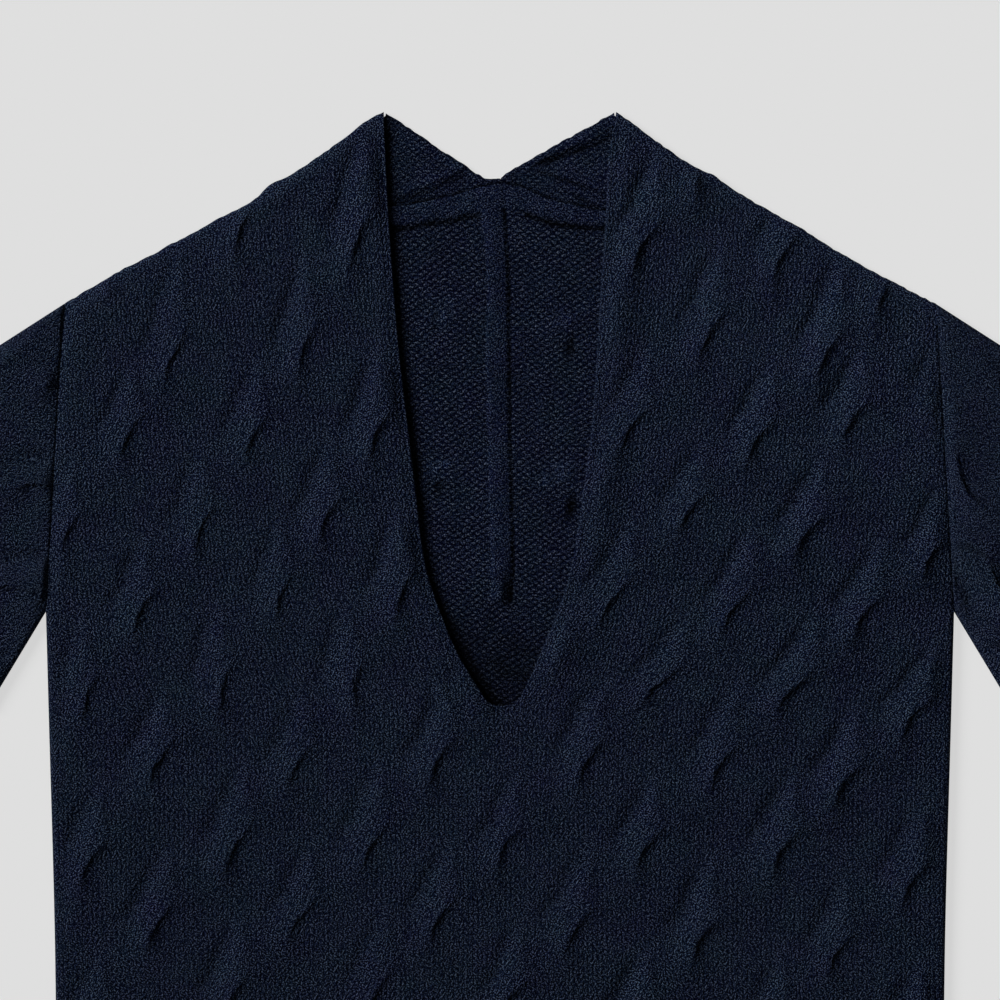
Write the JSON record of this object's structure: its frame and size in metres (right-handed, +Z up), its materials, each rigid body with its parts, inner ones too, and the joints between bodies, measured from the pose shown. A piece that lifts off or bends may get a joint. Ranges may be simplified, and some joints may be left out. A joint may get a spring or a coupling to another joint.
{
  "type": "short-sleeve cable knit sweater",
  "caption": "Pullover of cabled knit lying flat, with a deep V neck whose edges rise to two neck tips, a high collar joined at the centre back, drop shoulders and short sleeves.",
  "frame": {"origin": "under the middle of the garment, at the height of the surface that it lies on", "axes": "+Z up from the surface, +Y towards the collar, +X to the right as the garment is looked at"},
  "size_m": [0.74, 0.62, 0.0086],
  "materials": {
    "knit_front": "heathered navy wool knit, right side out, with raised cables and a soft matt nap",
    "knit_inside": "the same navy wool knit seen from its inside, purl side, matt"
  },
  "bodies": {
    "root": {"front": "knit_front", "back": "knit_inside", "collar_left": "knit_inside", "collar_right": "knit_inside", "sleeve_left": "knit_front", "sleeve_right": "knit_front"}
  },
  "joints": []
}
